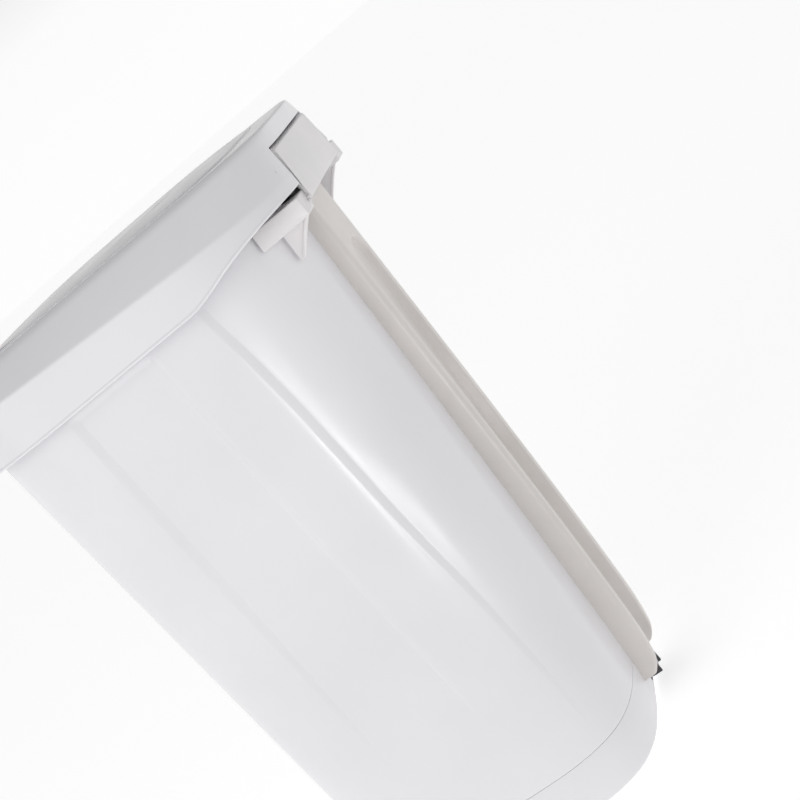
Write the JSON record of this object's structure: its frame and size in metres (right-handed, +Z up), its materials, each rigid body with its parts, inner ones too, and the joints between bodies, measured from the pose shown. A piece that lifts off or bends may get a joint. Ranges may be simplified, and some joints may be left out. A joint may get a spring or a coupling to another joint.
{
  "type": "pedal bin",
  "caption": "Tapered white plastic waste bin with a hinged lid, a rear handle and rod column, and a foot pedal that lifts the lid.",
  "frame": {"origin": "middle of the bin's bounding box, on the floor", "axes": "+Z up, -Y towards the pedal, +Y towards the lid hinge, +X to the bin's right seen from behind"},
  "size_m": [0.36, 0.4405, 0.6915],
  "materials": {
    "white_shell": "glossy moulded polypropylene",
    "steel": "zinc-plated wire and strip",
    "dark_plastic": "fine moulded grain",
    "rubber": "moulded rubber"
  },
  "bodies": {
    "bin": {"tub": "white_shell", "base_shoe": "white_shell", "rear_handle": "white_shell", "column_cover": "white_shell", "axle_bracket_left": "white_shell", "axle_bracket_right": "white_shell", "pedal_axle": "steel", "hinge_pin_left": "steel", "hinge_pin_right": "steel", "handle_screw_left": "steel", "handle_screw_right": "steel", "rod_guide_lower": "dark_plastic", "rod_guide_upper": "dark_plastic", "lid_buffer_left": "rubber", "lid_buffer_right": "rubber", "foot_front_left": "rubber", "foot_front_right": "rubber", "foot_rear_left": "rubber", "foot_rear_right": "rubber"},
    "lid": {"lid_shell": "white_shell", "lid_panel": "white_shell", "lid_lift_lever": "white_shell"},
    "pedal": {"pedal_lever": "steel", "pedal_pad": "dark_plastic"},
    "rod": {"lift_rod": "steel", "rod_push_head": "dark_plastic", "rod_coupling": "dark_plastic", "coupling_pin": "steel"}
  },
  "joints": [
    {"name": "lid_hinge", "type": "hinge", "parent": "bin", "child": "lid", "pos_m": [0, 0.2075, 0.648], "axis": [-1, 0, 0], "range_deg": [0, 80]},
    {"name": "pedal_pivot", "type": "hinge", "parent": "bin", "child": "pedal", "pos_m": [0, 0.0225, 0.026], "axis": [1, 0, 0], "range_deg": [0, 5.2]},
    {"name": "rod_slide", "type": "slide", "parent": "bin", "child": "rod", "axis": [0, 0.0765, 0.9971], "range_m": [0, 0.012]}
  ],
  "couplings": [
    {"joint": "pedal_pivot", "follows": "lid_hinge", "ratio": 0.0649},
    {"joint": "rod_slide", "follows": "lid_hinge", "m_per_rad": 0.00859}
  ]
}
